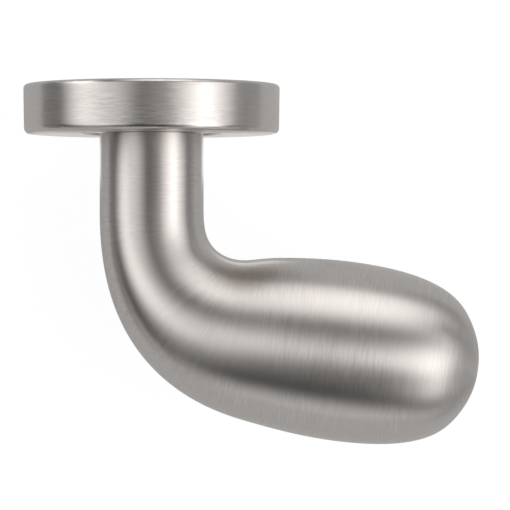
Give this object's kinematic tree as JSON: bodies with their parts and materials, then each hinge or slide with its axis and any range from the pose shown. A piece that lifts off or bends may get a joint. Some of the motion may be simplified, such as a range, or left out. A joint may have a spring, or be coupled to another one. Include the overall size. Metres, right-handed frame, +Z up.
{
  "type": "cranked door knob",
  "caption": "Fixed cranked door knob: a round neck bends into a swelling egg-shaped grip beside a round screw-on rose.",
  "frame": {"origin": "centre of the rose's back, midway between the two fixing bolts, on the door's face", "axes": "+Y out of the rose's back into the door, so the knob stands out along -Y; +X towards the grip's tip; +Z up the door, along the line of the fixing bolts"},
  "size_m": [0.0977, 0.0772, 0.055],
  "materials": {
    "satin_stainless": "satin",
    "cast_zinc": "matte",
    "dark_steel": "satin",
    "bright_steel": "polished",
    "brass": "satin"
  },
  "bodies": {
    "root": {"knob": "satin_stainless", "rose_cover": "satin_stainless", "guide_ring": "satin_stainless", "sub_rose": "cast_zinc", "clamp_screw": "dark_steel", "upper_fixing_sleeve": "brass", "lower_fixing_sleeve": "brass", "left_dowel_pin": "bright_steel", "right_dowel_pin": "bright_steel", "snap_ring": "dark_steel"}
  },
  "joints": []
}
